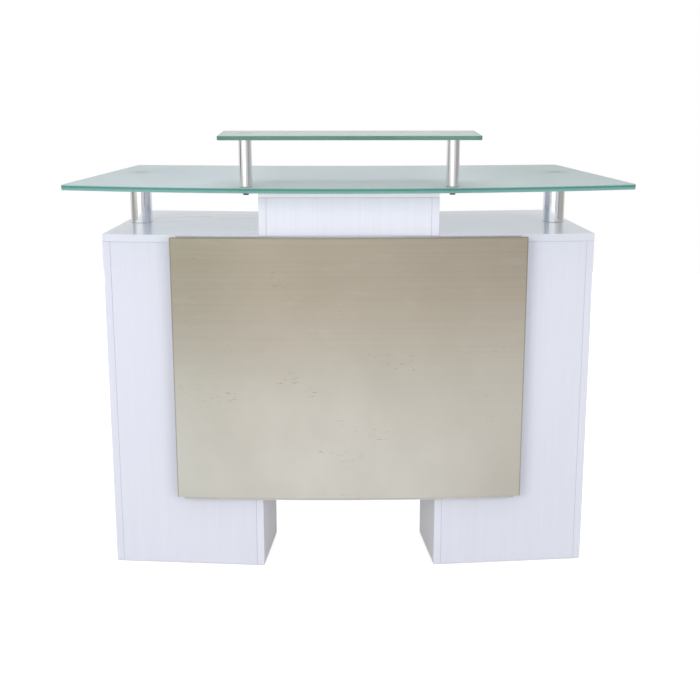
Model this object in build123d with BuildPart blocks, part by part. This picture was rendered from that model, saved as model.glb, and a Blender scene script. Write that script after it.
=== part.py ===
from build123d import *
import math
import os

# Glass-topped manicure table with two cabinet pedestals, a drawer box under the glass,
# a raised glass shelf on the client side and a curved metal front panel.
# Millimetres, +Z up.  The client sits at -Y, the technician at +Y, and X = 0 is the
# plane of symmetry.  The origin is on the floor, under the middle of the outline.
# "Back" distances run from the face of the drawer box towards the technician.

os.makedirs("parts", exist_ok=True)

SIDES = ((-1, "left"), (1, "right"))
MIDDLE = (Align.CENTER, Align.CENTER, Align.MIN)

# ---- carcass ----
board = 15.0
edge_break = 0.6
thread_clearance = 0.2
carcass_height = 696.0
centre_width = 354.0
wing_width = 314.0
wing_angle = math.radians(5.5)
top_depth = 365.0
pedestal_depth = 182.0
glide_height = 2.0
glide_radius = 7.0
glide_back = (20.0, 162.0)
plinth_height = 60.0
plinth_setback = 135.0
shelf_height = 370.0
shelf_side_gap = 1.0
shelf_back_gap = 7.0
rail_height = 100.0

# ---- glass ----
glass_top_height = 800.0
glass_thickness = 10.0
glass_half_front = 554.0
glass_half_back = 465.0
glass_front_middle = -98.0
glass_front_corner = -32.0
glass_back_middle = 346.0
glass_back_corner = 371.0
glass_corner_radius = 8.0
arris = 0.8
shelf_top_height = 900.0
shelf_thickness = 8.0
shelf_width = 484.0
shelf_depth = 140.0
shelf_back_offset = -67.0
shelf_corner_radius = 5.0

# ---- posts ----
glass_post_radius = 22.5
glass_post_across = 278.0
glass_post_back = 180.0
pad_thickness = 3.0
shelf_post_radius = 12.5
shelf_post_x = 195.5
shelf_pad_thickness = 2.0
washer_thickness = 1.0
stud_radius = 4.0

# ---- curved front panel ----
panel_half_width = 353.0
panel_bow = 14.0
panel_front = -16.9
panel_bottom = 155.0
panel_top = 694.0
sheet_thickness = 1.2
backing_thickness = 12.0
backing_inset = 13.0
backing_drop = 4.0
sheet_corner_radius = 1.5
cleat_across = (120.0, 160.0)
screw_length = 25.0
screw_radius = 2.0
screw_head_radius = 4.0
screw_head_height = 2.4

# ---- drawer box and drawer ----
box_depth = 351.0
gap = 2.0
drawer_board = 12.0
drawer_half_width = 149.0
drawer_front_gap = 2.5
drawer_bottom_thickness = 4.0
drawer_bottom_raise = 2.0
drawer_low = 704.0
drawer_high = 756.0
runner_length = 300.0
runner_centre = 730.0
runner_end_gap = 1.0
runner_gauge = 1.2
# each member: how far its web stands off what it is fixed to, its reach from there, its height
outer_member = (0.0, 10.5, 35.0)
middle_member = (2.2, 11.0, 31.4)
inner_member = (0.0, 7.5, 24.0)
handle_spacing = 96.0
handle_projection = 25.0

# ---- cabinet doors ----
door_low = plinth_height + 4.0
hinge_heights = (150.0, 590.0)
hinge_length = 60.0
leaf_gauge = 0.8
frame_leaf_reach = 19.0
door_leaf_reach = 14.5
barrel_radius = 2.75
hinge_pin_radius = 1.25
pin_clearance = 0.05
pivot_across = wing_width - board - 1.0
pivot_back = pedestal_depth + barrel_radius + 0.25
knob_height = 620.0

# ---- worked out ----
pedestal_top = carcass_height - board
glass_under = glass_top_height - glass_thickness
shelf_under = shelf_top_height - shelf_thickness
box_half_width = centre_width / 2
box_top = glass_under - 4.0
door_back = (pedestal_depth - board, pedestal_depth)
inside_across = (board, wing_width - board)
rearmost = wing_width * math.sin(wing_angle) + top_depth * math.cos(wing_angle)
foremost = shelf_back_offset - shelf_depth / 2
front_y = -(rearmost + foremost) / 2
panel_radius = (panel_half_width**2 + panel_bow**2) / (2 * panel_bow)
panel_centre_y = front_y + panel_front + panel_radius


def save(piece, name):
    """Label a finished piece and write it as a STEP file."""
    piece.part.label = name
    export_step(piece.part, f"parts/{name}.step")


def mirrored(point):
    """The plan point on the other side of the plane of symmetry."""
    return -point[0], point[1]


def on_wing(side, across, back):
    """Plan position of a point given across a wing and behind the wing's front."""
    x = centre_width / 2 + across * math.cos(wing_angle) - back * math.sin(wing_angle)
    y = front_y + across * math.sin(wing_angle) + back * math.cos(wing_angle)
    return side * x, y


def wing_plane(side, height):
    """Level plane at a wing's inner front corner, its +Y running back along the wing."""
    along = (math.cos(wing_angle), side * math.sin(wing_angle), 0)
    return Plane(origin=(side * centre_width / 2, front_y, height), x_dir=along, z_dir=(0, 0, 1))


def wing_board(side, across, back, height):
    """Board on a wing, each direction given as a (low, high) pair."""
    with BuildPart() as piece:
        with BuildSketch(wing_plane(side, height[0])):
            with Locations((side * sum(across) / 2, sum(back) / 2)):
                Rectangle(across[1] - across[0], back[1] - back[0])
        extrude(amount=height[1] - height[0])
        chamfer(piece.edges(), length=edge_break)
    return piece


def straight_board(across, back, height, softened=edge_break):
    """Board square to the table, each direction given as a (low, high) pair."""
    with BuildPart() as piece:
        with BuildSketch(Plane.XY.offset(height[0])):
            with Locations((sum(across) / 2, front_y + sum(back) / 2)):
                Rectangle(across[1] - across[0], back[1] - back[0])
        extrude(amount=height[1] - height[0])
        chamfer(piece.edges(), length=softened)
    return piece


def arc_y(x, inset):
    """Y of the curved panel's surface, moved back by inset, at a given X."""
    return panel_centre_y - math.sqrt((panel_radius - inset) ** 2 - x**2)


def curved_sheet(half_width, inset, thickness, height):
    """Upright sheet bowed towards the client, its front face inset behind the panel's."""
    back = inset + thickness
    front_end = (half_width, arc_y(half_width, inset))
    back_end = (half_width, arc_y(half_width, back))
    with BuildPart() as piece:
        with BuildSketch(Plane.XY.offset(height[0])):
            with BuildLine():
                ThreePointArc(mirrored(front_end), (0, arc_y(0, inset)), front_end)
                Line(front_end, back_end)
                ThreePointArc(back_end, (0, arc_y(0, back)), mirrored(back_end))
                Line(mirrored(back_end), mirrored(front_end))
            make_face()
        extrude(amount=height[1] - height[0])
    return piece


def level_points(side, across, back, height):
    """Upright placements on a wing for every pairing of the across and back values."""
    return [(*on_wing(side, a, b), height) for a in across for b in back]


# ---------------------------------------------------------------- carcass
dowel_across = (board / 2, wing_width - board / 2)
dowel_back = (40.0, 142.0)
dowel_radius = 4.0
dowel_in_top = 9.0
dowel_in_side = 21.0
pin_radius = 2.5
pin_depth = 10.0
pin_reach = 8.0
pin_back = (45.0, 130.0)
pin_height = shelf_height - pin_radius
pin_row_pitch = 32.0

glass_post_places = [on_wing(side, glass_post_across, glass_post_back) for side, _ in SIDES]
post_screw_head_radius = 8.0

outline = [on_wing(1, wing_width, 0), on_wing(1, wing_width, top_depth), on_wing(1, 0, top_depth)]
outline += [on_wing(-1, 0, top_depth), on_wing(-1, wing_width, top_depth), on_wing(-1, wing_width, 0)]
outline += [on_wing(-1, 0, 0), on_wing(1, 0, 0)]

with BuildPart() as carcass_top:
    with BuildSketch(Plane.XY.offset(pedestal_top)):
        Polygon(*outline, align=None)
    extrude(amount=board)
    chamfer(carcass_top.edges(), length=edge_break)
    with Locations(*[Plane(origin=(x, y, pedestal_top), z_dir=(0, 0, -1)) for x, y in glass_post_places]):
        CounterSinkHole(
            radius=stud_radius + thread_clearance,
            counter_sink_radius=post_screw_head_radius + thread_clearance,
        )
    with BuildSketch(Plane.XY.offset(pedestal_top)):
        for side, _ in SIDES:
            with Locations(*[place[:2] for place in level_points(side, dowel_across, dowel_back, 0)]):
                Circle(dowel_radius)
    extrude(amount=dowel_in_top, mode=Mode.SUBTRACT)
save(carcass_top, "carcass_top")

for side, hand in SIDES:
    for role, low in (("inner", 0.0), ("outer", wing_width - board)):
        blank = wing_board(side, (low, low + board), (0, pedestal_depth), (glide_height, pedestal_top))
        inward = side if role == "inner" else -side
        face = low + board if role == "inner" else low
        inward_dir = (inward * math.cos(wing_angle), inward * side * math.sin(wing_angle), 0)
        rows = [pin_height + step * pin_row_pitch for step in (-2, -1, 0, 1, 2)]
        pin_holes = [
            Plane(origin=(*on_wing(side, face, back), row), z_dir=inward_dir)
            for back in pin_back
            for row in rows
        ]
        with BuildPart() as side_board:
            add(blank.part)
            with Locations(*level_points(side, (low + board / 2,), dowel_back, pedestal_top)):
                Hole(radius=dowel_radius, depth=dowel_in_side)
            with Locations(*pin_holes):
                Hole(radius=pin_radius, depth=pin_depth)
        save(side_board, f"{hand}_{role}_side")

with BuildPart() as carcass_dowels:
    for side, _ in SIDES:
        with Locations(*level_points(side, dowel_across, dowel_back, pedestal_top - dowel_in_side)):
            Cylinder(dowel_radius, dowel_in_side + dowel_in_top, align=MIDDLE)
save(carcass_dowels, "carcass_dowels")

panel_screw_across = (30.0, 140.0)
panel_screw_heights = (230.0, 430.0, 610.0)


def panel_screw_planes(side, back):
    """Planes facing the technician where one wing's panel screws cross a given depth."""
    back_dir = (-side * math.sin(wing_angle), math.cos(wing_angle), 0)
    places = [(a, h) for a in panel_screw_across for h in panel_screw_heights]
    return [Plane(origin=(*on_wing(side, a, back), h), z_dir=back_dir) for a, h in places]


for side, hand in SIDES:
    blank = wing_board(side, inside_across, (0, board), (glide_height, pedestal_top))
    with BuildPart() as front:
        add(blank.part)
        with Locations(*panel_screw_planes(side, board)):
            Hole(radius=screw_radius + thread_clearance, depth=board)
    save(front, f"{hand}_front")
    inner_depth = (board, door_back[0] - gap)
    bottom_height = (plinth_height, plinth_height + board)
    save(wing_board(side, inside_across, inner_depth, bottom_height), f"{hand}_bottom")
    plinth_back = (plinth_setback, plinth_setback + board)
    save(wing_board(side, inside_across, plinth_back, (glide_height, plinth_height)), f"{hand}_plinth")
    shelf_across = (inside_across[0] + shelf_side_gap, inside_across[1] - shelf_side_gap)
    shelf_back = (board + gap, door_back[0] - shelf_back_gap)
    save(wing_board(side, shelf_across, shelf_back, (shelf_height, shelf_height + board)), f"{hand}_shelf")

with BuildPart() as shelf_pins:
    for side, _ in SIDES:
        for face, inward in ((board, 1), (wing_width - board, -1)):
            start = face - inward * pin_depth
            pin_dir = (inward * side * math.cos(wing_angle), inward * math.sin(wing_angle), 0)
            pin_starts = level_points(side, (start,), pin_back, pin_height)
            with Locations(*[Plane(origin=place, z_dir=pin_dir) for place in pin_starts]):
                Cylinder(pin_radius, pin_depth + pin_reach, align=MIDDLE)
save(shelf_pins, "shelf_pins")

rail_setback = 1.0
rail_front = on_wing(1, 0, rail_setback)
rail_rear = on_wing(1, 0, rail_setback + board)
rail_outline = [rail_front, rail_rear, mirrored(rail_rear), mirrored(rail_front)]
with BuildPart() as centre_rail:
    with BuildSketch(Plane.XY.offset(pedestal_top - rail_height)):
        Polygon(*rail_outline, align=None)
    extrude(amount=rail_height)
save(centre_rail, "centre_rail")

with BuildPart() as floor_glides:
    for side, _ in SIDES:
        with Locations(*level_points(side, dowel_across, glide_back, 0)):
            Cylinder(glide_radius, glide_height, align=MIDDLE)
    chamfer(floor_glides.faces().group_by(Axis.Z)[0].edges(), length=0.5)
save(floor_glides, "floor_glides")

# ---------------------------------------------------------------- curved front panel
sheet_height = (panel_bottom, panel_top)
backing_height = (panel_bottom - backing_drop, panel_top)
backing_half_width = panel_half_width - backing_inset
backing_back = sheet_thickness + backing_thickness

sheet_blank = curved_sheet(panel_half_width, 0, sheet_thickness, sheet_height)
with BuildPart() as panel_sheet:
    add(sheet_blank.part)
    across_sheet = panel_sheet.edges().filter_by(Axis.Y, tolerance=10).filter_by(GeomType.LINE)
    fillet(across_sheet, radius=sheet_corner_radius)
save(panel_sheet, "panel_sheet")

backing_blank = curved_sheet(backing_half_width, sheet_thickness, backing_thickness, backing_height)
with BuildPart() as panel_backing:
    add(backing_blank.part)
    for side, _ in SIDES:
        with Locations(*panel_screw_planes(side, board - screw_length)):
            Cylinder(screw_radius, screw_length, align=MIDDLE, mode=Mode.SUBTRACT)
save(panel_backing, "panel_backing")

for side, hand in SIDES:
    near, far = [on_wing(side, across, 0) for across in cleat_across]
    cleat_gap = 0.1
    front_near = (near[0], arc_y(near[0], backing_back + cleat_gap))
    front_far = (far[0], arc_y(far[0], backing_back + cleat_gap))
    with BuildPart() as cleat:
        with BuildSketch(Plane.XY.offset(panel_bottom + board)):
            Polygon(near, far, front_far, front_near, align=None)
        extrude(amount=panel_top - panel_bottom - 2 * board)
        with Locations(*panel_screw_planes(side, board)):
            Hole(radius=screw_radius + thread_clearance, depth=2 * board)
    save(cleat, f"{hand}_cleat")

with BuildPart() as panel_screw:
    Cylinder(screw_radius, screw_length, align=MIDDLE)
    with Locations((0, 0, screw_length)):
        Cylinder(screw_head_radius, screw_head_height, align=MIDDLE)
    fillet(panel_screw.faces().sort_by(Axis.Z)[-1].edges(), radius=screw_head_height / 2)

with BuildPart() as panel_screws:
    for side, _ in SIDES:
        with Locations(*panel_screw_planes(side, board - screw_length)):
            add(panel_screw.part)
save(panel_screws, "panel_screws")

# ---------------------------------------------------------------- glass and posts
shelf_centre_y = front_y + shelf_back_offset
shelf_post_places = [(-shelf_post_x, shelf_centre_y), (shelf_post_x, shelf_centre_y)]
glass_hole_radius = 5.0

front_corner = (glass_half_front, front_y + glass_front_corner)
back_corner = (glass_half_back, front_y + glass_back_corner)
front_middle = (0, front_y + glass_front_middle)
back_middle = (0, front_y + glass_back_middle)
with BuildPart() as glass_top:
    with BuildSketch(Plane.XY.offset(glass_under)):
        with BuildLine():
            ThreePointArc(mirrored(front_corner), front_middle, front_corner)
            Line(front_corner, back_corner)
            ThreePointArc(back_corner, back_middle, mirrored(back_corner))
            Line(mirrored(back_corner), mirrored(front_corner))
        make_face()
    extrude(amount=glass_thickness)
    fillet(glass_top.edges().filter_by(Axis.Z), radius=glass_corner_radius)
    chamfer(glass_top.faces().sort_by(Axis.Z)[-1].edges(), length=arris)
    chamfer(glass_top.faces().sort_by(Axis.Z)[0].edges(), length=arris)
    with Locations(*[(x, y, glass_top_height) for x, y in shelf_post_places]):
        Hole(radius=glass_hole_radius, depth=glass_thickness)
save(glass_top, "glass_top")

with BuildPart() as glass_shelf:
    with BuildSketch(Plane.XY.offset(shelf_under)):
        with Locations((0, shelf_centre_y)):
            RectangleRounded(shelf_width, shelf_depth, shelf_corner_radius)
    extrude(amount=shelf_thickness)
    chamfer(glass_shelf.faces().sort_by(Axis.Z)[-1].edges(), length=arris)
    chamfer(glass_shelf.faces().sort_by(Axis.Z)[0].edges(), length=arris)
save(glass_shelf, "glass_shelf")


def post(place, radius, height, hole_low, hole_high):
    """Round post with a soft edge at each end and a threaded blind hole in each end."""
    with BuildPart() as piece:
        with BuildSketch(Plane.XY.offset(height[0])):
            with Locations(place):
                Circle(radius)
        extrude(amount=height[1] - height[0])
        chamfer(piece.edges(), length=edge_break)
        with Locations((*place, height[1])):
            Hole(radius=stud_radius, depth=hole_high)
        with Locations(Plane(origin=(*place, height[0]), z_dir=(0, 0, -1))):
            Hole(radius=stud_radius, depth=hole_low)
    return piece


def disc_with_stud(places, disc_radius, disc_height, stud_height):
    """Discs that carry glass, each with a stud; both heights are (low, high) pairs."""
    with BuildPart() as pieces:
        with Locations(*[(x, y, disc_height[0]) for x, y in places]):
            Cylinder(disc_radius, disc_height[1] - disc_height[0], align=MIDDLE)
        with Locations(*[(x, y, stud_height[0]) for x, y in places]):
            Cylinder(stud_radius, stud_height[1] - stud_height[0], align=MIDDLE)
    return pieces


glass_post_height = (carcass_height, glass_under - pad_thickness)
pad_stud = 11.0
screw_depth = 20.0
hole_allowance = 1.0
for (side, hand), place in zip(SIDES, glass_post_places):
    pad_hole = pad_stud + hole_allowance
    save(post(place, glass_post_radius, glass_post_height, screw_depth, pad_hole), f"{hand}_glass_post")

pad_disc = (glass_post_height[1], glass_under)
pad_studs = (glass_post_height[1] - pad_stud, glass_post_height[1])
pad_radius = glass_post_radius - 2.5
save(disc_with_stud(glass_post_places, pad_radius, pad_disc, pad_studs), "glass_post_pads")

with BuildPart() as glass_post_screws:
    with Locations(*[(x, y, pedestal_top) for x, y in glass_post_places]):
        Cylinder(stud_radius, board + screw_depth - 2, align=MIDDLE)
        Cone(post_screw_head_radius, stud_radius, post_screw_head_radius - stud_radius, align=MIDDLE)
save(glass_post_screws, "glass_post_screws")

shelf_post_height = (glass_top_height + washer_thickness, shelf_under - shelf_pad_thickness)
shelf_stud = 10.0
bolt_depth = 20.0
for (side, hand), place in zip(SIDES, shelf_post_places):
    bolt_hole = bolt_depth + 2 * hole_allowance
    stud_hole = shelf_stud + hole_allowance
    save(post(place, shelf_post_radius, shelf_post_height, bolt_hole, stud_hole), f"{hand}_shelf_post")

shelf_disc = (shelf_post_height[1], shelf_under)
shelf_studs = (shelf_post_height[1] - shelf_stud, shelf_post_height[1])
save(disc_with_stud(shelf_post_places, shelf_post_radius - 0.5, shelf_disc, shelf_studs), "shelf_post_pads")

bolt_head_height = 4.0
bolt_head_radius = 5.5
bolt_socket_radius = 2.8
bolt_head_edge = 0.8
bolt_seat = glass_under - washer_thickness
with BuildPart() as shelf_post_bolts:
    with Locations(*[(x, y, bolt_seat) for x, y in shelf_post_places]):
        Cylinder(stud_radius, shelf_post_height[0] + bolt_depth - bolt_seat, align=MIDDLE)
    with Locations(*[(x, y, bolt_seat - bolt_head_height) for x, y in shelf_post_places]):
        Cylinder(bolt_head_radius, bolt_head_height, align=MIDDLE)
    fillet(shelf_post_bolts.faces().group_by(Axis.Z)[0].edges(), radius=bolt_head_edge)
    with BuildSketch(Plane.XY.offset(bolt_seat - bolt_head_height)):
        with Locations(*shelf_post_places):
            RegularPolygon(bolt_socket_radius, 6)
    extrude(amount=bolt_head_height * 0.6, mode=Mode.SUBTRACT)
save(shelf_post_bolts, "shelf_post_bolts")

with BuildPart() as shelf_post_washers:
    for low in (bolt_seat, glass_top_height):
        with BuildSketch(Plane.XY.offset(low)):
            with Locations(*shelf_post_places):
                Circle(shelf_post_radius - 1)
                Circle(stud_radius + thread_clearance, mode=Mode.SUBTRACT)
        extrude(amount=washer_thickness)
save(shelf_post_washers, "shelf_post_washers")

# ---------------------------------------------------------------- drawer box
box_height = (carcass_height, box_top - board)
save(straight_board((board - box_half_width, box_half_width - board), (0, board), box_height), "box_front")
save(
    straight_board((-box_half_width, box_half_width), (0, box_depth), (box_top - board, box_top)),
    "box_top",
)
for side, hand in SIDES:
    across = sorted((side * box_half_width, side * (box_half_width - board)))
    save(straight_board(across, (0, box_depth), box_height), f"{hand}_box_side")

bumper_radius = 6.0
bumper_inset = (27.0, 30.0)
bumper_pitch = (2 * (box_half_width - bumper_inset[0]), box_depth - 2 * bumper_inset[1])
with BuildPart() as glass_bumpers:
    with Locations((0, front_y + box_depth / 2, box_top)):
        with GridLocations(*bumper_pitch, 2, 2):
            Cylinder(bumper_radius, glass_under - box_top, align=MIDDLE)
save(glass_bumpers, "glass_bumpers")

# ---------------------------------------------------------------- drawer
front_half = box_half_width - board - gap
front_height = (carcass_height + drawer_front_gap, box_top - board - gap)
front_back = (box_depth - board, box_depth)
handle_height = sum(front_height) / 2
handle_x = (-handle_spacing / 2, handle_spacing / 2)
handle_screw_radius = 2.0
handle_hole_depth = 9.0
towards_technician = (0, 1, 0)
towards_client = (0, -1, 0)


def handle_planes(back, direction):
    """Upright planes at the handle's two fixings, that far behind the box front."""
    return [Plane(origin=(x, front_y + back, handle_height), z_dir=direction) for x in handle_x]


front_blank = straight_board((-front_half, front_half), front_back, front_height)
with BuildPart() as drawer_front:
    add(front_blank.part)
    with Locations(*handle_planes(box_depth, towards_technician)):
        Hole(radius=handle_screw_radius + thread_clearance, depth=board)
save(drawer_front, "drawer_front")

drawer_back_edge = box_depth - board
drawer_start = drawer_back_edge - runner_length
drawer_height = (drawer_low, drawer_high)
for side, hand in SIDES:
    across = sorted((side * drawer_half_width, side * (drawer_half_width - drawer_board)))
    save(straight_board(across, (drawer_start, drawer_back_edge), drawer_height), f"{hand}_drawer_side")

inside_half = drawer_half_width - drawer_board
end_back = (drawer_start, drawer_start + drawer_board)
save(straight_board((-inside_half, inside_half), end_back, drawer_height), "drawer_back")
floor_back = (end_back[1], drawer_back_edge)
floor_low = drawer_low + drawer_bottom_raise
floor_height = (floor_low, floor_low + drawer_bottom_thickness)
floor_board = straight_board((-inside_half, inside_half), floor_back, floor_height, edge_break / 2)
save(floor_board, "drawer_bottom")

handle_bar_radius = 5.0
handle_leg_radius = 4.0
handle_overhang = 12.0
handle_end_radius = 1.5
handle_bar_y = front_y + box_depth + handle_projection - handle_bar_radius
with BuildPart() as drawer_handle:
    bar_half = handle_spacing / 2 + handle_overhang
    with BuildSketch(Plane(origin=(-bar_half, handle_bar_y, handle_height), z_dir=(1, 0, 0))):
        Circle(handle_bar_radius)
    extrude(amount=2 * bar_half)
    fillet(drawer_handle.edges().filter_by(GeomType.CIRCLE), radius=handle_end_radius)
    with Locations(*handle_planes(box_depth, towards_technician)):
        Cylinder(handle_leg_radius, handle_projection - handle_bar_radius, align=MIDDLE)
        Cylinder(handle_screw_radius, handle_hole_depth, align=MIDDLE, mode=Mode.SUBTRACT)
save(drawer_handle, "drawer_handle")

with BuildPart() as drawer_handle_screws:
    with Locations(*handle_planes(box_depth - board, towards_technician)):
        Cylinder(handle_screw_radius, board + handle_hole_depth - hole_allowance, align=MIDDLE)
    with Locations(*handle_planes(box_depth - board, towards_client)):
        Cylinder(screw_head_radius, screw_head_height, align=MIDDLE)
    fillet(drawer_handle_screws.faces().group_by(Axis.Y)[0].edges(), radius=screw_head_height / 2)
save(drawer_handle_screws, "drawer_handle_screws")


def runner_members(fixed_to, inward, member):
    """A left and a right channel of a drawer runner; fixed_to is its face's distance from X = 0
    and inward is -1 for a channel that opens towards X = 0 and 1 for one that opens away."""
    stand_off, reach_off, height = member
    web_x = fixed_to + inward * stand_off
    reach = fixed_to + inward * reach_off
    web_in = web_x + inward * runner_gauge
    with BuildPart() as pieces:
        with BuildSketch(Plane.XZ.offset(-(front_y + drawer_start))):
            for side, _ in SIDES:
                half = height / 2
                slot = half - runner_gauge
                points = [(web_x, -half), (reach, -half), (reach, -slot), (web_in, -slot)]
                points += [(x, -z) for x, z in reversed(points)]
                Polygon(*[(side * x, runner_centre + z) for x, z in points], align=None)
        extrude(amount=-(runner_length - runner_end_gap))
    return pieces


box_inside = box_half_width - board
save(runner_members(box_inside, -1, outer_member), "runner_outer_members")
save(runner_members(box_inside, -1, middle_member), "runner_middle_members")
save(runner_members(drawer_half_width, 1, inner_member), "runner_inner_members")

# ---------------------------------------------------------------- cabinet doors
knob_inset = 25.0
knob_across = board + gap + knob_inset
knob_stem_radius = 2.0
knob_stem = 10.0
knob_profile = [(0, 0), (7, 0), (7, 2), (5, 5), (5, 12), (11, 16), (12, 19), (10.5, 22), (0, 22.6)]
stem_profile = [(0, -knob_stem), (knob_stem_radius, -knob_stem), (knob_stem_radius, 0), (0, 0)]
catch_size = (40.0, 15.0, 14.0)
catch_across = board + 25.0
striker_thickness = 1.5
striker_half_width = 15.0
striker_edge_gap = 1.0


def door_plane(side, across, back, height):
    """Upright plane facing the technician on a wing."""
    back_dir = (-side * math.sin(wing_angle), math.cos(wing_angle), 0)
    return Plane(origin=(*on_wing(side, across, back), height), x_dir=(0, 0, 1), z_dir=back_dir)


tab_overlap = 0.5


def leaf_sketch(side, across, back):
    """Thin upright plate of a hinge leaf in plan, as a Rectangle on the wing."""
    with BuildSketch(mode=Mode.PRIVATE) as plate:
        with Locations((side * sum(across) / 2, sum(back) / 2)):
            Rectangle(across[1] - across[0], back[1] - back[0])
    return plate.sketch


def hinge_leaves(side, leaf_across, leaf_start, bore, knuckles):
    """One side's leaves for both hinges; knuckles lists (low, high) heights on each hinge."""
    pivot_at = (side * pivot_across, pivot_back)
    tab_back = (pedestal_depth - tab_overlap, pivot_back - tab_overlap)
    plate = leaf_sketch(side, leaf_across, (leaf_start, pedestal_depth))
    tab = leaf_sketch(side, leaf_across, tab_back)
    with BuildPart() as leaves:
        for middle in hinge_heights:
            low = middle - hinge_length / 2
            extrude(wing_plane(side, low).from_local_coords(plate), amount=hinge_length)
            for start, end in knuckles:
                level = wing_plane(side, low + start)
                extrude(level.from_local_coords(tab), amount=end - start)
                with BuildSketch(level):
                    with Locations(pivot_at):
                        Circle(barrel_radius)
                extrude(amount=end - start)
        with Locations((*on_wing(side, pivot_across, pivot_back), 0)):
            Cylinder(bore, carcass_height, align=MIDDLE, mode=Mode.SUBTRACT)
    return leaves


third = hinge_length / 3
knuckle_gap = 0.2
frame_knuckles = ((0, third - knuckle_gap), (2 * third + knuckle_gap, hinge_length))
door_knuckles = ((third, 2 * third),)
frame_leaf_across = (wing_width - board - leaf_gauge, wing_width - board)
door_leaf_across = (wing_width - board - gap, wing_width - board - gap + leaf_gauge)

frame_leaf_start = pedestal_depth - frame_leaf_reach
frame_leaf_parts = [
    hinge_leaves(side, frame_leaf_across, frame_leaf_start, hinge_pin_radius, frame_knuckles)
    for side, _ in SIDES
]
with BuildPart() as hinge_frame_leaves:
    for leaves in frame_leaf_parts:
        add(leaves.part)
save(hinge_frame_leaves, "hinge_frame_leaves")

with BuildPart() as hinge_pins:
    for side, _ in SIDES:
        for middle in hinge_heights:
            with Locations((*on_wing(side, pivot_across, pivot_back), middle - hinge_length / 2)):
                Cylinder(hinge_pin_radius, hinge_length, align=MIDDLE)
save(hinge_pins, "hinge_pins")

for side, hand in SIDES:
    door_across = (board + gap, wing_width - board - gap)
    door_blank = wing_board(side, door_across, door_back, (door_low, pedestal_top - gap))
    with BuildPart() as door:
        add(door_blank.part)
        with Locations(door_plane(side, knob_across, pedestal_depth, knob_height)):
            Hole(radius=knob_stem_radius, depth=knob_stem)
    save(door, f"{hand}_door")

    bore = hinge_pin_radius + pin_clearance
    door_leaf_start = pedestal_depth - door_leaf_reach
    door_leaves = hinge_leaves(side, door_leaf_across, door_leaf_start, bore, door_knuckles)
    save(door_leaves, f"{hand}_door_leaves")

    with BuildPart() as knob:
        with BuildSketch(Plane.XZ) as profile:
            Polygon(*knob_profile, align=None)
            Polygon(*stem_profile, align=None)
        revolve(axis=Axis.Z)
    with BuildPart() as placed_knob:
        with Locations(door_plane(side, knob_across, pedestal_depth, knob_height)):
            add(knob.part)
    save(placed_knob, f"{hand}_knob")

    striker_across = (catch_across - striker_half_width, catch_across + striker_half_width)
    striker_back = (door_back[0] - striker_thickness, door_back[0])
    striker_low = pedestal_top - catch_size[2] + striker_edge_gap
    striker_height = (striker_low, pedestal_top - gap - striker_edge_gap)
    with BuildPart() as striker:
        with BuildSketch(wing_plane(side, striker_height[0])):
            with Locations((side * sum(striker_across) / 2, sum(striker_back) / 2)):
                Rectangle(striker_across[1] - striker_across[0], striker_thickness)
        extrude(amount=striker_height[1] - striker_height[0])
    save(striker, f"{hand}_striker")

block_across = (catch_across - catch_size[0] / 2, catch_across + catch_size[0] / 2)
block_back = (door_back[0] - gap - catch_size[1], door_back[0] - gap)
block_height = (pedestal_top - catch_size[2], pedestal_top)
catch_blocks = [wing_board(side, block_across, block_back, block_height) for side, _ in SIDES]
with BuildPart() as door_catches:
    for block in catch_blocks:
        add(block.part)
save(door_catches, "door_catches")
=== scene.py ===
"""The looks of the manicure table: materials, floor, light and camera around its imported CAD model.

Metres, in the frame of the CAD model: X across the table, Y from the client to the technician, Z up.
"""

import bmesh
import bpy
import math
from mathutils import Matrix, Vector


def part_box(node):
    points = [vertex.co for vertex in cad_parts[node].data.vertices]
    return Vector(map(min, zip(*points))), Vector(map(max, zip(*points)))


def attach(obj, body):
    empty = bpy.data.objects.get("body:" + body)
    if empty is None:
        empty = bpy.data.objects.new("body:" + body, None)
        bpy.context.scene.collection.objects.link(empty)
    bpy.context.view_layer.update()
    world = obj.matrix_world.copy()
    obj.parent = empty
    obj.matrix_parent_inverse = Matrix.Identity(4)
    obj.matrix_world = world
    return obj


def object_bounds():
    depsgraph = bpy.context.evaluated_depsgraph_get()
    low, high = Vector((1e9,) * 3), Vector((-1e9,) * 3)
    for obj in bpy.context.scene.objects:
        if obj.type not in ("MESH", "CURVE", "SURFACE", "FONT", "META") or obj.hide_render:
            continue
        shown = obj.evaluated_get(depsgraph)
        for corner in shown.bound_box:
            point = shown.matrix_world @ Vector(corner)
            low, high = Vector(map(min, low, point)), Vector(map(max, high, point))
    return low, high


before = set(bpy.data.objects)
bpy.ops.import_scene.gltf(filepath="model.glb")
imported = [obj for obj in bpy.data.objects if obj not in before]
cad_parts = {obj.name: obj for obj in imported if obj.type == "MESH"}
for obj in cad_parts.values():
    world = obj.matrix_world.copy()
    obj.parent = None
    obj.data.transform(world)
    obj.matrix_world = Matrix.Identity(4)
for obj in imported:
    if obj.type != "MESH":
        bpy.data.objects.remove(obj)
cad_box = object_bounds()

# Reach of the painted shade beside a joint or in a corner: between boards, between metal or wooden pieces,
# between small pieces.
BOARD_JOINT_REACH = 0.0035
JOINT_REACH = 0.004
SMALL_JOINT_REACH = 0.003
# Depth of the bumps of a grain, and of finer lines and pores.
GRAIN_DEPTH = 0.0002
FINE_DEPTH = 0.0001
# Painted light: the glass is lighter over the white box, fully so near the middle, and not past the far
# distance.
BOX_GLOW_NEAR = 0.16
BOX_GLOW_FAR = 0.4
LIGHT_THROUGH_GLASS = 0.45
# The glass that is this much higher than the top is the shelf.
ABOVE_TOP = 0.02
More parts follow.
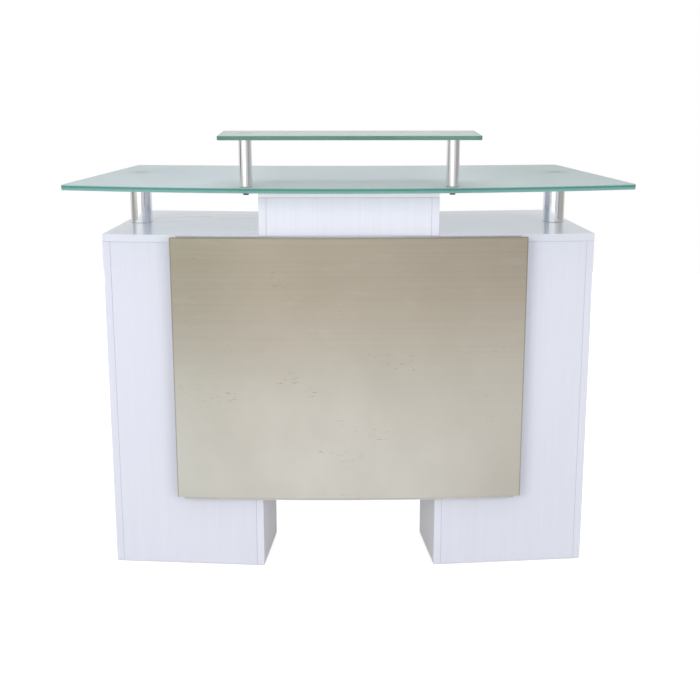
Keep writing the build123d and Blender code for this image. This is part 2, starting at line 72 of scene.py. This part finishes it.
# Widths of the painted cool reflection at the left end and the painted shade at the right end of the steel
# sheet, and of the dark line along its border, partly its own edge and partly painted shade.
COOL_END = 0.22
SHADED_END = 0.2
EDGE_AND_SHADE_LINE = 0.0012
EDGE_AND_SHADE_LINE_FADED = 0.0026
FLOOR_GLOW = 0.65


def rgb(red, green, blue):
    """The linear colour of an sRGB colour that is written as numbers from 0 to 255."""
    channels = []
    for value in (red, green, blue):
        share = value / 255
        channels.append(share / 12.92 if share <= 0.04045 else ((share + 0.055) / 1.055) ** 2.4)
    return (*channels, 1.0)


def darker(colour, drop):
    """The linear colour of an sRGB colour with drop taken off each of its numbers."""
    return rgb(*[value - drop for value in colour])


def grey(value):
    """A linear grey."""
    return (value, value, value, 1.0)


def stretched(axis, across, along):
    """The scales along X, Y and Z of a pattern that is drawn out along one axis, as a grain is."""
    scales = [across, across, across]
    scales["XYZ".index(axis)] = along
    return scales


class Graph:
    """The node tree of a material or of the world. Each method adds nodes and returns the output to link."""

    def __init__(self, owner):
        owner.use_nodes = True
        self.tree = owner.node_tree

    def node(self, kind, settings=None, **inputs):
        """A node of that kind; a value that is itself an output is linked, any other value is set."""
        made = self.tree.nodes.new(kind)
        for name, value in (settings or {}).items():
            setattr(made, name, value)
        for name, value in inputs.items():
            self.feed(made.inputs[name.replace("_", " ")], value)
        return made

    def feed(self, socket, value):
        if isinstance(value, bpy.types.NodeSocket):
            self.tree.links.new(value, socket)
        else:
            socket.default_value = value

    def place(self):
        """The point on the piece, in its own frame, so that a pattern moves with its piece."""
        return self.node("ShaderNodeTexCoord").outputs["Object"]

    def part_of(self, vector, axis):
        return self.node("ShaderNodeSeparateXYZ", Vector=vector).outputs[axis]

    def noise(self, across, along_y, up, detail=2.0, roughness=0.5, offset=(0, 0, 0)):
        """Noise with that many features in a metre along X, Y and Z."""
        placed = self.node("ShaderNodeMapping", Vector=self.place())
        placed.inputs["Scale"].default_value = (across, along_y, up)
        placed.inputs["Location"].default_value = offset
        made = self.node("ShaderNodeTexNoise", Vector=placed.outputs[0], Scale=1.0)
        made.inputs["Detail"].default_value = detail
        made.inputs["Roughness"].default_value = roughness
        return made.outputs["Fac"]

    def ramp(self, share, *stops):
        """stops are (place, colour) pairs; a plain number is a grey."""
        made = self.node("ShaderNodeValToRGB", Fac=share)
        elements = made.color_ramp.elements
        while len(elements) < len(stops):
            elements.new(0.5)
        for element, (place, colour) in zip(elements, stops):
            element.position = place
            element.color = grey(colour) if isinstance(colour, (int, float)) else colour
        return made.outputs["Color"]

    def band(self, value, low, high, at_low=0.0, at_high=1.0):
        """value mapped from low-high to at_low-at_high, without going past either."""
        made = self.node("ShaderNodeMapRange", {"interpolation_type": "SMOOTHSTEP"}, Value=value)
        ends = {"From Min": low, "From Max": high, "To Min": at_low, "To Max": at_high}
        for name, number in ends.items():
            made.inputs[name].default_value = number
        return made.outputs["Result"]

    def maths(self, operation, first, second=0.0):
        made = self.node("ShaderNodeMath", {"operation": operation})
        self.feed(made.inputs[0], first)
        self.feed(made.inputs[1], second)
        return made.outputs[0]

    def rest_of(self, share):
        """1 less the share."""
        return self.maths("SUBTRACT", 1.0, share)

    def weigh(self, first, part, second):
        """The mean of two values, in which the first one counts for that part."""
        taken = self.maths("MULTIPLY", first, part)
        return self.maths("ADD", taken, self.maths("MULTIPLY", second, 1.0 - part))

    def mix(self, share, first, second):
        made = self.node("ShaderNodeMix", {"data_type": "RGBA"})
        self.feed(made.inputs["Factor"], share)
        for socket, value in ((made.inputs[6], first), (made.inputs[7], second)):
            self.feed(socket, value)
        return made.outputs[2]

    def bump(self, height, strength, distance):
        made = self.node("ShaderNodeBump", Height=height, Strength=strength, Distance=distance)
        return made.outputs["Normal"]

    def crevice_shade(self, reach):
        """1 in the open, falling towards 0 where another face stands closer than reach: the mask for the
        shade painted into joints and corners.
        """
        made = self.node("ShaderNodeAmbientOcclusion", {"samples": 8}, Distance=reach)
        return made.outputs["AO"]

    def facing(self, axis):
        """How far the face looks along that axis of the model's frame."""
        normal = self.node("ShaderNodeNewGeometry").outputs["Normal"]
        return self.part_of(normal, axis)


class Finish(Graph):
    """A material with one Principled shader; settings are its sockets, with _ for a space."""

    def __init__(self, name):
        self.material = bpy.data.materials.new(name)
        super().__init__(self.material)
        self.shader = self.tree.nodes["Principled BSDF"]

    def surface(self, **inputs):
        for name, value in inputs.items():
            self.feed(self.shader.inputs[name.replace("_", " ")], value)
        return self.material


def melamine(name, grain, colour, roughness, coat=0.0, faces=None, edge_colour=None):
    """White melamine-faced board: a fine printed grain, a faint cloudiness, and grey painted shade in the
    joints and corners.
    grain is the axis that the grain runs along. A board whose two faces look along the axis faces may have
    edges of another colour."""
    g = Finish(name)
    streaks = g.noise(*stretched(grain, 420.0, 9.0), detail=3.0, roughness=0.6)
    bands = g.noise(*stretched(grain, 70.0, 2.2))
    clouds = g.noise(3.0, 3.0, 2.0, detail=3.0, offset=(4.0, 2.0, 7.0))
    tone = g.ramp(g.weigh(streaks, 0.65, bands), (0.35, darker(colour, 4)), (0.62, rgb(*colour)))
    red, green, blue = colour
    tone = g.mix(g.band(clouds, 0.35, 0.75, 0.0, 0.4), tone, rgb(red - 5, green - 5, blue - 1))
    if edge_colour:
        banded = g.band(g.maths("ABSOLUTE", g.facing(faces)), 0.3, 0.6, 1.0, 0.0)
        tone = g.mix(banded, tone, rgb(*edge_colour))
    # Painted shade: grey in the joints and corners, where another face stands close.
    tone = g.mix(g.band(g.crevice_shade(BOARD_JOINT_REACH), 0.45, 0.95), rgb(176, 176, 190), tone)
    gloss = g.ramp(g.weigh(clouds, 0.5, streaks), (0.3, roughness - 0.05), (0.7, roughness + 0.06))
    return g.surface(Base_Color=tone, Roughness=gloss, Specular_IOR_Level=0.5, Coat_Weight=coat,
                     Coat_Roughness=0.08, Normal=g.bump(streaks, 0.1, GRAIN_DEPTH))


def frosted_glass():
    """Frosted tempered glass: pale milky faces with painted light, lighter towards the left end and over the
    white box, and green polished edges with ground arrises. The raised shelf is a yellower green and lies
    above the top in the same material."""
    g = Finish("frosted_glass")
    g.tree.nodes.remove(g.tree.nodes["Material Output"])
    clouds = g.noise(5.0, 5.0, 5.0, detail=3.0, offset=(1.0, 5.0, 3.0))
    specks = g.noise(900.0, 900.0, 900.0, detail=2.0)
    across = g.part_of(g.place(), "X")
    height = g.part_of(g.place(), "Z")
    top_low, top_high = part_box("glass_top")
    on_shelf = g.band(height, top_high.z + ABOVE_TOP, top_high.z + 2 * ABOVE_TOP)
    # Painted light: the faces are lighter towards the left end.
    milky = g.mix(g.band(across, -0.5, 0.5), rgb(232, 240, 242), rgb(223, 232, 231))
    milky = g.mix(g.band(clouds, 0.35, 0.7, 0.0, 0.4), milky, rgb(222, 231, 231))
    # Painted light: lighter over the white box below.
    painted_box_glow = g.band(g.maths("ABSOLUTE", across), BOX_GLOW_NEAR, BOX_GLOW_FAR, 0.8, 0.0)
    milky = g.mix(painted_box_glow, milky, rgb(240, 247, 248))
    milky = g.mix(on_shelf, milky, rgb(231, 238, 234))
    milky = g.mix(g.band(specks, 0.6, 0.8, 0.0, 0.12), milky, grey(0.9))
    green = g.ramp(g.band(height, top_low.z, top_high.z),
                   (0.0, rgb(150, 192, 191)), (0.3, rgb(134, 186, 181)), (0.5, rgb(128, 184, 176)),
                   (0.6, rgb(92, 156, 143)), (0.9, rgb(98, 160, 148)), (1.0, rgb(150, 200, 192)))
    shelf_green = g.mix(g.band(clouds, 0.4, 0.62), rgb(100, 149, 132), rgb(112, 159, 143))
    green = g.mix(on_shelf, green, shelf_green)
    upright = g.rest_of(g.maths("ABSOLUTE", g.facing("Z")))
    edge = g.band(upright, 0.45, 0.75)
    arris = g.maths("MULTIPLY", g.band(upright, 0.05, 0.2), g.band(upright, 0.4, 0.6, 1.0, 0.0))
    tone = g.mix(edge, milky, green)
    ground = g.mix(on_shelf, rgb(152, 196, 194), rgb(100, 150, 130))
    tone = g.mix(g.maths("MULTIPLY", arris, 0.75), tone, ground)
    gloss = g.mix(edge, grey(0.42), grey(0.12))
    g.surface(Base_Color=tone, Roughness=gloss, IOR=1.52, Specular_IOR_Level=0.4,
              Normal=g.bump(specks, 0.04, FINE_DEPTH))
    glow = g.node("ShaderNodeBsdfTranslucent", Color=tone)
    both = g.node("ShaderNodeMixShader", Fac=LIGHT_THROUGH_GLASS)
    g.tree.links.new(g.shader.outputs[0], both.inputs[1])
    g.tree.links.new(glow.outputs[0], both.inputs[2])
    output = g.node("ShaderNodeOutputMaterial")
    g.tree.links.new(both.outputs[0], output.inputs["Surface"])
    return g.material


def drawn_metal(name, colour, roughness, line_axis, lines=1500.0, spread=0.08, depth=0.05):
    """Metal with fine lines along one axis, as from drawing or brushing."""
    g = Finish(name)
    fine = g.noise(*stretched(line_axis, lines, 6.0), detail=3.0, roughness=0.65)
    clouds = g.noise(14.0, 14.0, 14.0, detail=3.0)
    tone = g.ramp(fine, (0.3, darker(colour, 14)), (0.7, rgb(*colour)))
    tone = g.mix(g.band(clouds, 0.4, 0.7, 0.0, 0.25), tone, darker(colour, 18))
    # Painted shade: darker where another face stands close, as at the foot of a post.
    tone = g.mix(g.band(g.crevice_shade(SMALL_JOINT_REACH), 0.2, 0.8, 0.75, 1.0), grey(0.3), tone)
    return g.surface(Base_Color=tone, Metallic=1.0,
                     Roughness=g.ramp(fine, (0.3, roughness), (0.7, roughness + spread)),
                     Normal=g.bump(fine, depth, FINE_DEPTH))


def brushed_panel():
    """The bowed stainless sheet: level brush lines, a warm tone with painted reflection that lightens towards
    the floor, a cooler painted reflection at its left end and painted shade at its right end, a cloudy film,
    a few scratches and a dark line along its top and sides, partly the sheet's own edge and partly painted
    shade in the gap behind it."""
    g = Finish("panel_steel")
    low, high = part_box("panel_sheet")
    across = g.part_of(g.place(), "X")
    height = g.part_of(g.place(), "Z")
    brush = g.noise(5.0, 5.0, 1500.0, detail=4.0, roughness=0.7)
    wide_brush = g.noise(1.6, 1.6, 200.0, detail=3.0, roughness=0.6, offset=(3.0, 0.0, 5.0))
    clouds = g.noise(4.5, 4.5, 3.2, detail=4.0, roughness=0.55, offset=(2.0, 9.0, 1.0))
    smears = g.noise(14.0, 14.0, 40.0, detail=3.0, roughness=0.6, offset=(8.0, 1.0, 4.0))
    rise = g.band(height, low.z, high.z)
    fall = g.rest_of(rise)
    # Painted reflection: the sheet is lighter towards the floor and darker and warmer towards its top.
    tone = g.ramp(rise, (0.0, rgb(244, 241, 231)), (0.3, rgb(232, 227, 216)), (0.6, rgb(212, 206, 192)),
                  (0.85, rgb(196, 186, 169)), (1.0, rgb(184, 174, 157)))
    # Painted reflection: a cooler tone towards the left end, darker towards the top.
    cool = g.band(across, low.x + COOL_END, low.x, 0.0, 0.5)
    tone = g.mix(cool, tone, g.mix(rise, rgb(226, 227, 216), rgb(152, 150, 132)))
    shaded = g.maths("MULTIPLY", g.band(across, high.x - SHADED_END, high.x, 0.0, 0.5), fall)
    tone = g.mix(shaded, tone, rgb(200, 192, 178))
    tone = g.mix(g.band(clouds, 0.35, 0.7, 0.0, 0.16), tone, rgb(170, 158, 140))
    tone = g.mix(g.band(wide_brush, 0.35, 0.7, 0.0, 0.05), tone, rgb(240, 236, 228))
    tone = g.mix(g.band(smears, 0.55, 0.75, 0.0, 0.08), tone, grey(0.8))
    scratch = g.noise(60.0, 60.0, 520.0, detail=1.0, offset=(5.0, 3.0, 2.0))
    sparse = g.noise(9.0, 9.0, 14.0, detail=1.0, offset=(1.0, 7.0, 9.0))
    marks = g.maths("MULTIPLY", g.band(scratch, 0.66, 0.72), g.band(sparse, 0.6, 0.66))
    tone = g.mix(g.maths("MULTIPLY", marks, 0.32), tone, rgb(128, 108, 92))
    # A dark line along the top and side borders: partly the sheet's own edge, partly painted shade in the gap
    # behind it.
    from_sides = g.maths("MINIMUM", g.maths("SUBTRACT", high.x, across), g.maths("SUBTRACT", across, low.x))
    rim = g.maths("MINIMUM", g.maths("SUBTRACT", high.z, height), from_sides)
    tone = g.mix(g.band(rim, EDGE_AND_SHADE_LINE, EDGE_AND_SHADE_LINE_FADED, 0.45, 0.0), tone, rgb(110, 98, 82))
    gloss = g.ramp(g.weigh(brush, 0.6, clouds), (0.3, 0.34), (0.7, 0.46))
    return g.surface(Base_Color=tone, Metallic=1.0, Roughness=gloss, Anisotropic=0.4,
                     Normal=g.bump(brush, 0.04, FINE_DEPTH))


def zinc_plate():
    """Bright zinc-plated steel with a faint bluish spangle."""
    g = Finish("zinc_steel")
    flakes = g.node("ShaderNodeTexVoronoi", Vector=g.place(), Scale=420.0).outputs["Color"]
    clouds = g.noise(60.0, 60.0, 60.0, detail=3.0)
    tone = g.mix(g.band(g.part_of(flakes, "X"), 0.0, 1.0, 0.0, 0.6), rgb(205, 208, 214), rgb(178, 184, 194))
    tone = g.mix(g.band(clouds, 0.4, 0.7, 0.0, 0.5), tone, rgb(186, 184, 176))
    # Painted shade: near black in the cross cuts and where another face stands close.
    tone = g.mix(g.band(g.crevice_shade(JOINT_REACH), 0.3, 0.9), grey(0.16), tone)
    return g.surface(Base_Color=tone, Metallic=1.0, Roughness=g.ramp(clouds, (0.3, 0.24), (0.7, 0.4)),
                     Normal=g.bump(clouds, 0.05, GRAIN_DEPTH))


def black_oxide():
    """Blackened steel with a grainy film that is rubbed lighter in places."""
    g = Finish("black_bolt")
    grains = g.noise(2200.0, 2200.0, 2200.0, detail=3.0)
    tone = g.ramp(grains, (0.35, rgb(52, 54, 57)), (0.7, rgb(104, 106, 108)))
    return g.surface(Base_Color=tone, Metallic=0.8, Roughness=g.ramp(grains, (0.3, 0.32), (0.7, 0.5)),
                     Normal=g.bump(grains, 0.15, FINE_DEPTH))


def plastic(name, colour, roughness, clear=0.0):
    """Moulded plastic with a fine texture and a faint flow pattern."""
    g = Finish(name)
    pores = g.noise(1700.0, 1700.0, 1700.0, detail=2.0)
    flow = g.noise(90.0, 90.0, 240.0, detail=3.0)
    tone = g.ramp(flow, (0.3, darker(colour, 12)), (0.7, rgb(*colour)))
    # Painted shade: grey where another face stands close.
    tone = g.mix(g.band(g.crevice_shade(SMALL_JOINT_REACH), 0.3, 0.95), rgb(120, 120, 120), tone)
    return g.surface(Base_Color=tone, Roughness=g.ramp(pores, (0.3, roughness), (0.7, roughness + 0.12)),
                     Transmission_Weight=clear, IOR=1.46, Normal=g.bump(pores, 0.15, FINE_DEPTH))


def wood(name, light, dark, grain, rings):
    """Bare wood or board: long fibres with darker growth lines, along the grain axis."""
    g = Finish(name)
    fibres = g.noise(*stretched(grain, 700.0, 22.0), detail=4.0, roughness=0.65)
    growth = g.noise(*stretched(grain, rings, 4.0))
    tone = g.mix(g.band(g.weigh(fibres, 0.6, growth), 0.35, 0.65), rgb(*dark), rgb(*light))
    # Painted shade: darker where another face stands close.
    tone = g.mix(g.band(g.crevice_shade(JOINT_REACH), 0.3, 0.95), darker(dark, 60), tone)
    return g.surface(Base_Color=tone, Roughness=g.ramp(fibres, (0.3, 0.55), (0.7, 0.75)),
                     Normal=g.bump(fibres, 0.25, GRAIN_DEPTH))


def plain_floor():
    """A pale matt floor that is near white to the camera, whatever light falls on it."""
    g = Finish("studio_floor")
    mottle = g.noise(1.5, 1.5, 1.5, detail=3.0)
    seen = g.node("ShaderNodeLightPath").outputs["Is Camera Ray"]
    return g.surface(Base_Color=g.ramp(mottle, (0.3, 0.64), (0.7, 0.68)), Roughness=0.9,
                     Emission_Color=grey(1.0), Emission_Strength=g.maths("MULTIPLY", seen, FLOOR_GLOW))


# sRGB colours of the white boards, and the boards that aren't the plain upright white. All are one white
# melamine; the other whites are painted light and shade, as noted at each.
WHITE = (223, 226, 236)
PAINTED_LIGHT_WHITE = (240, 242, 251)
upright_white = melamine("melamine_upright", "Z", WHITE, roughness=0.42)
OTHER_BOARDS = [
    # Painted light: the box's boards are a lighter white against the shade of the glass above; the drawer
    # sides share it.
    (melamine("melamine_box_painted_light", "Z", PAINTED_LIGHT_WHITE, roughness=0.42),
     ("box_front", "left_box_side", "right_box_side")),
    # Painted light: the lid's edges are lighter still, against the shade of the glass just above them.
    (melamine("melamine_lid_painted_light", "X", PAINTED_LIGHT_WHITE, roughness=0.3, faces="Z", edge_colour=(252, 253, 255)),
     ("box_top",)),
    # Painted light: the level boards are a lighter, bluer white for the top under the glass, with the plain
    # white on their edges.
    (melamine("melamine_level_painted_light", "X", (240, 244, 254), roughness=0.3, coat=0.6, faces="Z", edge_colour=WHITE),
     ("carcass_top", "left_bottom", "right_bottom", "left_shelf", "right_shelf", "centre_rail",
      "drawer_front", "drawer_back")),
    # Painted shade: the kneehole sides are a less blue grey, with the plain white on their front edges.
    (melamine("melamine_kneehole_painted_shade", "Z", (222, 222, 224), roughness=0.45, faces="X", edge_colour=WHITE),
     ("left_inner_side", "right_inner_side")),
    (melamine("melamine_deep", "Y", PAINTED_LIGHT_WHITE, roughness=0.4),
     ("left_drawer_side", "right_drawer_side")),
]
white_of_board = {name: finish for finish, names in OTHER_BOARDS for name in names}
FINISHES = {
    "panel_core": wood("panel_core", (200, 198, 194), (184, 181, 174), "X", 90.0),
    "hardboard": wood("hardboard_white", (222, 222, 226), (206, 206, 212), "Y", 150.0),
    "dowel_wood": wood("dowel_beech", (214, 184, 140), (184, 148, 104), "X", 260.0),
    "frosted_glass": frosted_glass(),
    "post_aluminium": drawn_metal("post_aluminium", (251, 251, 252), 0.1, "Z", spread=0.06, depth=0.03),
    "disc_steel": drawn_metal("disc_steel", (206, 206, 206), 0.26, "X", lines=900.0),
    "panel_steel": brushed_panel(),
    "zinc_steel": zinc_plate(),
    "black_bolt": black_oxide(),
    "clear_bumper": plastic("clear_bumper", (226, 232, 232), 0.25, clear=0.5),
    "nylon": plastic("nylon_white", (222, 222, 218), 0.4),
    "handle_aluminium": drawn_metal("handle_aluminium", (208, 210, 214), 0.26, "X", lines=1100.0),
}


def finish_for(name, slot):
    """The finish of a CAD node by its slot, or for a white board by what the board is."""
    if slot == "white_melamine":
        return white_of_board.get(name, upright_white)
    return FINISHES[slot]


for node_name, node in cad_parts.items():
    for holder in node.material_slots:
        holder.material = finish_for(node_name, holder.material.name)


# A wing is turned back by this angle. The faces and middles of its fittings are measured across it from the
# drawer box, and the screws of the leaves and the face of the catch are measured back from its front.
WING_ANGLE = math.radians(5.5)
HINGE_HEIGHTS = (0.150, 0.590)
HINGE_SCREW_STEPS = (-0.022, 0.0, 0.022)
SCREW_RADIUS = 0.0024
SCREW_PROUD = 0.00015
LEAF_SCREW_BACK = 0.1735
FRAME_LEAF_FACE = 0.2982
DOOR_LEAF_FACE = 0.2978
CATCH_MIDDLE = 0.040
CATCH_FACE = 0.165
# The pole plates of a catch: their size, their heights as shares of the catch's, and how deep they are sunk.
CATCH_PLATE = Vector((0.0015, 0.030, 0.0010))
CATCH_PLATE_SHARES = (0.3, 0.7)
CATCH_PLATE_SUNK = 0.0002
# A row of balls lies BALL_ROW_OUT above and below each inner channel, BALL_ROW_IN inside its outer face, and
# starts BALL_ROW_BACK from the rear end of the middle channel. Its strip is CAGE_OUT further out.
BALL_RADIUS = 0.0012
BALLS_IN_ROW = 10
BALL_ROW_LENGTH = 0.16
BALL_ROW_OUT = 0.00125
BALL_ROW_IN = 0.0030
BALL_ROW_BACK = 0.02
CAGE_OUT = 0.0022
CAGE_STRIP = Vector((0.0004, BALL_ROW_LENGTH + 0.008, 0.0020))
SHARP_EDGE = math.radians(35.0)
SIDES = {"left": -1, "right": 1}


def on_wing(side, across, back):
    """Plan position of a point given across a wing and behind the wing's front."""
    origin = Vector((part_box("box_top")[1].x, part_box("box_front")[0].y))
    x = origin.x + across * math.cos(WING_ANGLE) - back * math.sin(WING_ANGLE)
    y = origin.y + across * math.sin(WING_ANGLE) + back * math.cos(WING_ANGLE)
    return side * x, y


def facing_across(side, outward, place):
    """A frame at place whose Z looks across a wing, away from the middle where outward is 1."""
    look = Vector((side * outward * math.cos(WING_ANGLE), outward * math.sin(WING_ANGLE), 0.0))
    up = Vector((0.0, 0.0, 1.0))
    turned = Matrix((up.cross(look), up, look)).transposed()
    return Matrix.Translation(place) @ turned.to_4x4()


def piece(name, bm, slot, body):
    """The mesh as an object that rides on a body and has a slot's finish."""
    bmesh.ops.recalc_face_normals(bm, faces=bm.faces)
    mesh = bpy.data.meshes.new(name)
    bm.to_mesh(mesh)
    bm.free()
    mesh.shade_smooth()
    mesh.set_sharp_from_angle(angle=SHARP_EDGE)
    made = bpy.data.objects.new(name, mesh)
    bpy.context.scene.collection.objects.link(made)
    mesh.materials.append(FINISHES[slot])
    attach(made, body)
    return made


def add_screw_head(bm, place, radius, proud):
    """A flat countersunk head with a cross cut in it; the local Z of place points out of the head."""
    corners = 24
    arm, half = 0.62 * radius, 0.16 * radius
    cross = [(arm, half), (half, half), (half, arm), (-half, arm), (-half, half), (-arm, half)]
    cross += [(-x, -y) for x, y in cross]
    turns = [math.tau * i / corners for i in range(corners)]

    def ring(outline, height):
        return [bm.verts.new(place @ Vector((x, y, height))) for x, y in outline]

    def wall(low, high):
        for i in range(len(low)):
            j = (i + 1) % len(low)
            bm.faces.new((low[i], low[j], high[j], high[i]))

    def loop(points):
        return [bm.edges.get((a, b)) for a, b in zip(points, points[1:] + points[:1])]

    def circle(share):
        return [(share * radius * math.cos(turn), share * radius * math.sin(turn)) for turn in turns]

    foot = ring(circle(1.0), -proud)
    rim = ring(circle(1.0), 0.6 * proud)
    crown = ring(circle(0.92), proud)
    cut = ring(cross, proud)
    floor = ring(cross, -0.5 * proud)
    wall(foot, rim)
    wall(rim, crown)
    wall(floor, cut)
    bm.faces.new(floor)
    bm.faces.new(foot)
    bmesh.ops.triangle_fill(bm, edges=loop(crown) + loop(cut), use_beauty=True)


def add_bar(bm, place, size, bevel):
    """A bar with bevelled edges, its middle at place."""
    made = bmesh.ops.create_cube(bm, size=1.0, matrix=place @ Matrix.Diagonal((*size, 1.0)))
    edges = dict.fromkeys(edge for vert in made["verts"] for edge in vert.link_edges)
    bmesh.ops.bevel(bm, geom=list(edges), offset=bevel, segments=2, affect="EDGES")


def add_hinge_screws():
    """Three screws in each hinge leaf, level with it, seen when a door is open."""
    frame_screws = bmesh.new()
    for hand, side in SIDES.items():
        door_screws = bmesh.new()
        for middle in HINGE_HEIGHTS:
            for step in HINGE_SCREW_STEPS:
                height = middle + step
                seat = Vector((*on_wing(side, FRAME_LEAF_FACE, LEAF_SCREW_BACK), height))
                add_screw_head(frame_screws, facing_across(side, -1, seat), SCREW_RADIUS, SCREW_PROUD)
                seat = Vector((*on_wing(side, DOOR_LEAF_FACE, LEAF_SCREW_BACK), height))
                add_screw_head(door_screws, facing_across(side, 1, seat), SCREW_RADIUS, SCREW_PROUD)
        piece(f"{hand}_door_leaf_screws", door_screws, "zinc_steel", f"{hand}_door")
    piece("hinge_frame_leaf_screws", frame_screws, "zinc_steel", "root")


def add_catch_plates():
    """Two steel pole plates in the face of each magnetic catch."""
    plates = bmesh.new()
    low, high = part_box("door_catches")
    up = Vector((0.0, 0.0, 1.0))
    for side in SIDES.values():
        outward = Vector((-side * math.sin(WING_ANGLE), math.cos(WING_ANGLE), 0.0))
        turned = Matrix((up, outward.cross(up), outward)).transposed().to_4x4()
        for share in CATCH_PLATE_SHARES:
            height = low.z + share * (high.z - low.z)
            seat = Vector((*on_wing(side, CATCH_MIDDLE, CATCH_FACE), height)) - CATCH_PLATE_SUNK * outward
            add_bar(plates, Matrix.Translation(seat) @ turned, CATCH_PLATE, bevel=0.0002)
    piece("door_catch_plates", plates, "zinc_steel", "root")


def add_ball_cages():
    """Rows of balls in a pressed strip between the middle and the inner channel of each runner."""
    low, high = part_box("runner_middle_members")
    inner_low, inner_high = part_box("runner_inner_members")
    middle = (low.z + high.z) / 2
    rise = (inner_high.z - inner_low.z) / 2 + BALL_ROW_OUT
    row_across = inner_high.x - BALL_ROW_IN
    row_end = high.y - BALL_ROW_BACK
    cages = bmesh.new()
    for side in SIDES.values():
        for height in (middle - rise, middle + rise):
            for i in range(BALLS_IN_ROW):
                back = BALL_ROW_LENGTH * i / (BALLS_IN_ROW - 1)
                seat = Matrix.Translation((side * row_across, row_end - back, height))
                bmesh.ops.create_icosphere(cages, subdivisions=2, radius=BALL_RADIUS, matrix=seat)
            strip_middle = (side * (row_across + CAGE_OUT), row_end - BALL_ROW_LENGTH / 2, height)
            add_bar(cages, Matrix.Translation(strip_middle), CAGE_STRIP, bevel=0.0001)
    piece("runner_ball_cages", cages, "zinc_steel", "runner_middle")


add_hinge_screws()
add_catch_plates()
add_ball_cages()


FLOOR_RADIUS = 3.6
FLOOR_CORNERS = 96
# The lights: each soft panel's place, width, height and watts.
SOFTBOXES = {
    "key_left": ((-2.2, -2.9, 1.3), 1.8, 1.8, 39.0),
    "key_right": ((2.3, -2.9, 1.3), 1.8, 1.8, 26.0),
    "overhead": ((-0.3, -0.9, 3.0), 2.6, 1.6, 18.0),
    "rear": ((0.4, 3.4, 0.45), 3.4, 0.8, 46.0),
}
CAMERA_LENS_MM = 63.92
CAMERA_PLACE = (-0.0253, -2.5510, 1.0638)
CAMERA_TILT = math.radians(76.1265)
CAMERA_PAN = math.radians(-0.6448)
CAMERA_RANGE = 200.0
# The rings of surroundings that shiny faces reflect, by share of a turn: 0.5 is in front of the table, 0.25
# on its left and 0 behind it. The low ring is for the posts under the glass and the high one for the shelf's;
# they meet where a direction falls by that much.
TAUPE, LAVENDER, GAP, PANEL = rgb(172, 169, 161), rgb(206, 208, 222), rgb(84, 86, 92), 1.3
LOW_RING = [
    (0.0, 0.8), (0.15, 0.75), (0.2, TAUPE), (0.385, TAUPE), (0.392, GAP), (0.402, GAP), (0.41, PANEL),
    (0.515, PANEL), (0.522, GAP), (0.532, GAP), (0.542, LAVENDER), (0.6, LAVENDER), (0.614, GAP),
    (0.622, GAP), (0.63, TAUPE), (0.8, TAUPE), (0.85, 0.75), (1.0, 0.8),
]
HIGH_RING = [
    (0.0, 0.85), (0.2, 0.8), (0.235, GAP), (0.27, GAP), (0.3, 0.8), (0.36, 0.85), (0.37, PANEL),
    (0.52, PANEL), (0.535, 0.72), (0.61, 0.68), (0.63, 0.36), (0.8, 0.4), (0.84, 0.8), (1.0, 0.85),
]
RINGS_MEET = (-0.118, -0.105)


def add_floor():
    """A round white floor, part of the studio."""
    turns = [math.tau * i / FLOOR_CORNERS for i in range(FLOOR_CORNERS)]
    points = [(FLOOR_RADIUS * math.cos(turn), FLOOR_RADIUS * math.sin(turn), 0.0) for turn in turns]
    mesh = bpy.data.meshes.new("studio_floor")
    mesh.from_pydata(points, [], [tuple(range(FLOOR_CORNERS))])
    floor = bpy.data.objects.new("studio_floor", mesh)
    bpy.context.scene.collection.objects.link(floor)
    mesh.materials.append(plain_floor())


def add_softbox(name, place, width, height, watts):
    """A soft panel that looks at the middle of the table and isn't reflected in it."""
    lamp = bpy.data.lights.new(name, "AREA")
    lamp.shape = "RECTANGLE"
    lamp.size, lamp.size_y = width, height
    lamp.energy = watts
    box = bpy.data.objects.new(name, lamp)
    box.location = place
    direction = box.location - (cad_box[0] + cad_box[1]) / 2
    box.rotation_euler = direction.to_track_quat("Z", "Y").to_euler()
    box.visible_glossy = False
    bpy.context.scene.collection.objects.link(box)


def add_surroundings():
    """White to the camera and soft to matt faces; shiny faces see bright panels with darker gaps between."""
    world = bpy.data.worlds.new("studio")
    bpy.context.scene.world = world
    g = Graph(world)
    g.tree.nodes.clear()
    direction = g.node("ShaderNodeTexCoord").outputs["Generated"]
    across, back, rise = (g.part_of(direction, axis) for axis in "XYZ")
    turn = g.maths("ARCTAN2", across, g.maths("MULTIPLY", back, -1.0))
    share = g.maths("ADD", g.maths("DIVIDE", turn, math.tau), 0.5)
    ring = g.mix(g.band(rise, *RINGS_MEET), g.ramp(share, *LOW_RING), g.ramp(share, *HIGH_RING))
    mirrored = g.mix(g.band(rise, 0.1, 0.55), ring, grey(0.95))
    soft = g.ramp(g.band(rise, -0.1, 0.9), (0.0, rgb(203, 203, 206)), (1.0, rgb(222, 222, 223)))
    soft = g.mix(g.band(back, 0.0, 0.7, 0.0, 0.6), soft, rgb(166, 166, 168))
    paths = g.node("ShaderNodeLightPath").outputs
    seen = g.mix(paths["Is Glossy Ray"], soft, mirrored)
    seen = g.mix(paths["Is Camera Ray"], seen, grey(1.0))
    background = g.node("ShaderNodeBackground", Color=seen, Strength=1.0)
    output = g.node("ShaderNodeOutputWorld")
    g.tree.links.new(background.outputs[0], output.inputs["Surface"])


def add_camera():
    camera = bpy.data.cameras.new("camera")
    camera.lens = CAMERA_LENS_MM
    camera.clip_end = CAMERA_RANGE
    holder = bpy.data.objects.new("camera", camera)
    holder.location = CAMERA_PLACE
    holder.rotation_euler = (CAMERA_TILT, 0.0, CAMERA_PAN)
    bpy.context.scene.collection.objects.link(holder)
    bpy.context.scene.camera = holder


add_floor()
add_surroundings()
for panel_name, panel in SOFTBOXES.items():
    add_softbox(panel_name, *panel)
add_camera()
bpy.context.scene.view_settings.view_transform = "Standard"
